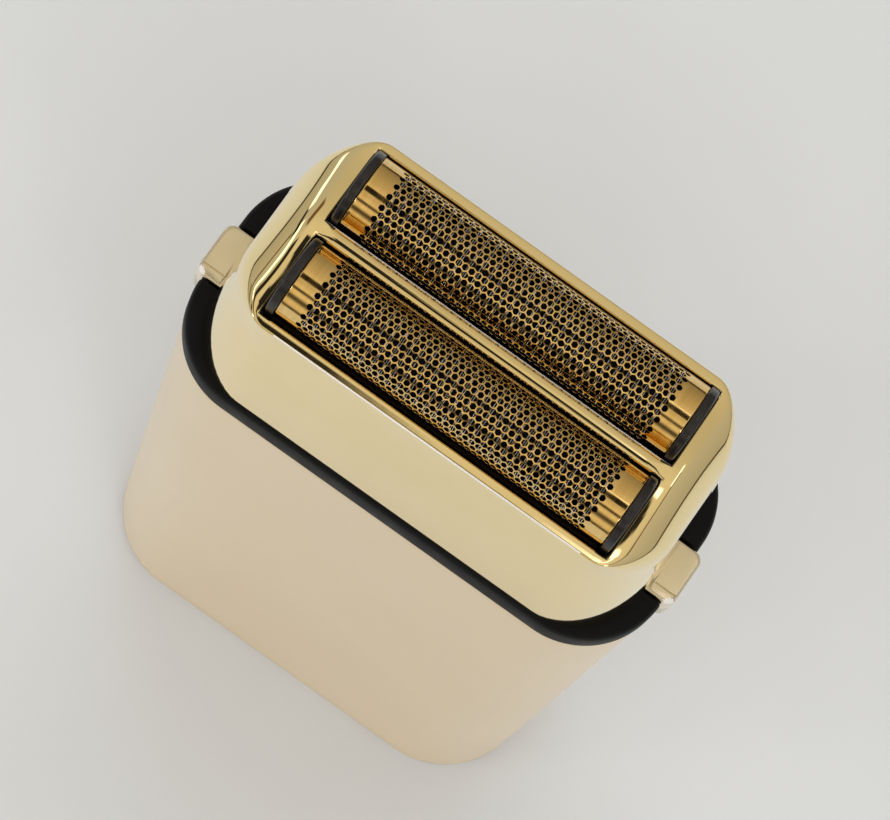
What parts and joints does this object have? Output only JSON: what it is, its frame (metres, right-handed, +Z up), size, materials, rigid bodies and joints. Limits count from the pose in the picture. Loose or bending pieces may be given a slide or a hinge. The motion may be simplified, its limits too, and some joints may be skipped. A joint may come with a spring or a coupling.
{
  "type": "foil shaver",
  "caption": "Handheld foil shaver: lift-off gilt head with floating perforated foils over oscillating cutters, dark collar with release buttons, slim metal body.",
  "frame": {"origin": "centre of the flat base, which the shaver stands on", "axes": "+X along the foils, to the right seen from the front; -Y is the front with the power button; +Z up from the base to the foils"},
  "size_m": [0.0676, 0.03, 0.1463],
  "materials": {
    "gold_head": "mirror-polished pale gold plating",
    "gold_body": "satin champagne-gold anodised metal",
    "gold_trim": "polished champagne-gold plating",
    "gold_foil": "bright deep-gold foil",
    "black_plastic": "semi-gloss black",
    "dark_plastic": "matte charcoal",
    "steel": "bright stainless",
    "zinc": "zinc-plated, satin",
    "nickel": "bright nickel",
    "battery_wrap": "shrink-wrap sleeve",
    "board_green": "solder-mask green",
    "rubber": "matte black",
    "lens": "clear light pipe"
  },
  "bodies": {
    "housing": {"front_shell": "gold_body", "rear_shell": "gold_body", "base_cap": "gold_body", "base_screw_left": "steel", "base_screw_right": "steel", "collar": "black_plastic", "neck_deck": "dark_plastic", "deck_screw_1": "steel", "deck_screw_2": "steel", "deck_screw_3": "steel", "deck_screw_4": "steel", "drive_seal": "rubber", "chassis": "dark_plastic", "battery_cell": "battery_wrap", "battery_tab_bottom": "nickel", "battery_tab_top": "nickel", "circuit_board": "board_green", "board_screw_left": "steel", "board_screw_right": "steel", "power_switch": "dark_plastic", "status_lens": "lens", "charge_jack": "black_plastic", "motor_can": "zinc", "motor_bracket": "zinc", "motor_screw_front": "steel", "motor_screw_rear": "steel", "bracket_screw_left": "steel", "bracket_screw_right": "steel", "power_ring": "gold_trim"},
    "motor_rotor": {"motor_shaft": "steel", "drive_cam": "dark_plastic"},
    "cutter_bridge": {"drive_fork": "dark_plastic", "oscillating_bridge": "dark_plastic", "cutter_spring_front": "nickel", "cutter_spring_rear": "nickel"},
    "front_cutter": {"front_cutter_carrier": "dark_plastic", "front_blades": "steel"},
    "rear_cutter": {"rear_cutter_carrier": "dark_plastic", "rear_blades": "steel"},
    "head": {"head_cap": "gold_head", "head_liner": "black_plastic", "latch_catch_left": "dark_plastic", "latch_catch_right": "dark_plastic"},
    "front_foil_unit": {"front_cassette": "black_plastic", "front_foil": "gold_foil", "front_end_cap_left": "black_plastic", "front_end_cap_right": "black_plastic"},
    "rear_foil_unit": {"rear_cassette": "black_plastic", "rear_foil": "gold_foil", "rear_end_cap_left": "black_plastic", "rear_end_cap_right": "black_plastic"},
    "power_key": {"power_button": "gold_trim"},
    "left_release_key": {"left_release": "gold_trim"},
    "right_release_key": {"right_release": "gold_trim"}
  },
  "joints": [
    {"name": "head_lift", "type": "slide", "parent": "housing", "child": "head", "axis": [0, 0, 1], "range_m": [0, 0.03]},
    {"name": "front_foil_float", "type": "slide", "parent": "head", "child": "front_foil_unit", "axis": [0, 0, -1], "range_m": [0, 0.001], "stiffness_N_per_m": 400, "springref_m": -0.0015},
    {"name": "rear_foil_float", "type": "slide", "parent": "head", "child": "rear_foil_unit", "axis": [0, 0, -1], "range_m": [0, 0.001], "stiffness_N_per_m": 400, "springref_m": -0.0015},
    {"name": "bridge_slide", "type": "slide", "parent": "housing", "child": "cutter_bridge", "axis": [1, 0, 0], "range_m": [-0.0012, 0.0012], "stiffness_N_per_m": 500},
    {"name": "front_cutter_float", "type": "slide", "parent": "cutter_bridge", "child": "front_cutter", "axis": [0, 0, -1], "range_m": [0, 0.001], "stiffness_N_per_m": 400, "springref_m": -0.0015, "deforming": ["cutter_spring_front"]},
    {"name": "rear_cutter_float", "type": "slide", "parent": "cutter_bridge", "child": "rear_cutter", "axis": [0, 0, -1], "range_m": [0, 0.001], "stiffness_N_per_m": 400, "springref_m": -0.0015, "deforming": ["cutter_spring_rear"]},
    {"name": "motor_spin", "type": "hinge", "parent": "housing", "child": "motor_rotor", "pos_m": [0, 0, 0.1053], "axis": [0, 0, 1], "continuous": true},
    {"name": "power_press", "type": "slide", "parent": "housing", "child": "power_key", "axis": [0, 1, 0], "range_m": [0, 0.0008], "stiffness_N_per_m": 600, "springref_m": -0.0008},
    {"name": "left_release_press", "type": "slide", "parent": "housing", "child": "left_release_key", "axis": [1, 0, 0], "range_m": [0, 0.0015], "stiffness_N_per_m": 500, "springref_m": -0.0015},
    {"name": "right_release_press", "type": "slide", "parent": "housing", "child": "right_release_key", "axis": [-1, 0, 0], "range_m": [0, 0.0015], "stiffness_N_per_m": 500, "springref_m": -0.0015}
  ],
  "couplings": [
    {"joint": "front_cutter_float", "follows": "front_foil_float", "ratio": 1},
    {"joint": "rear_cutter_float", "follows": "rear_foil_float", "ratio": 1}
  ]
}
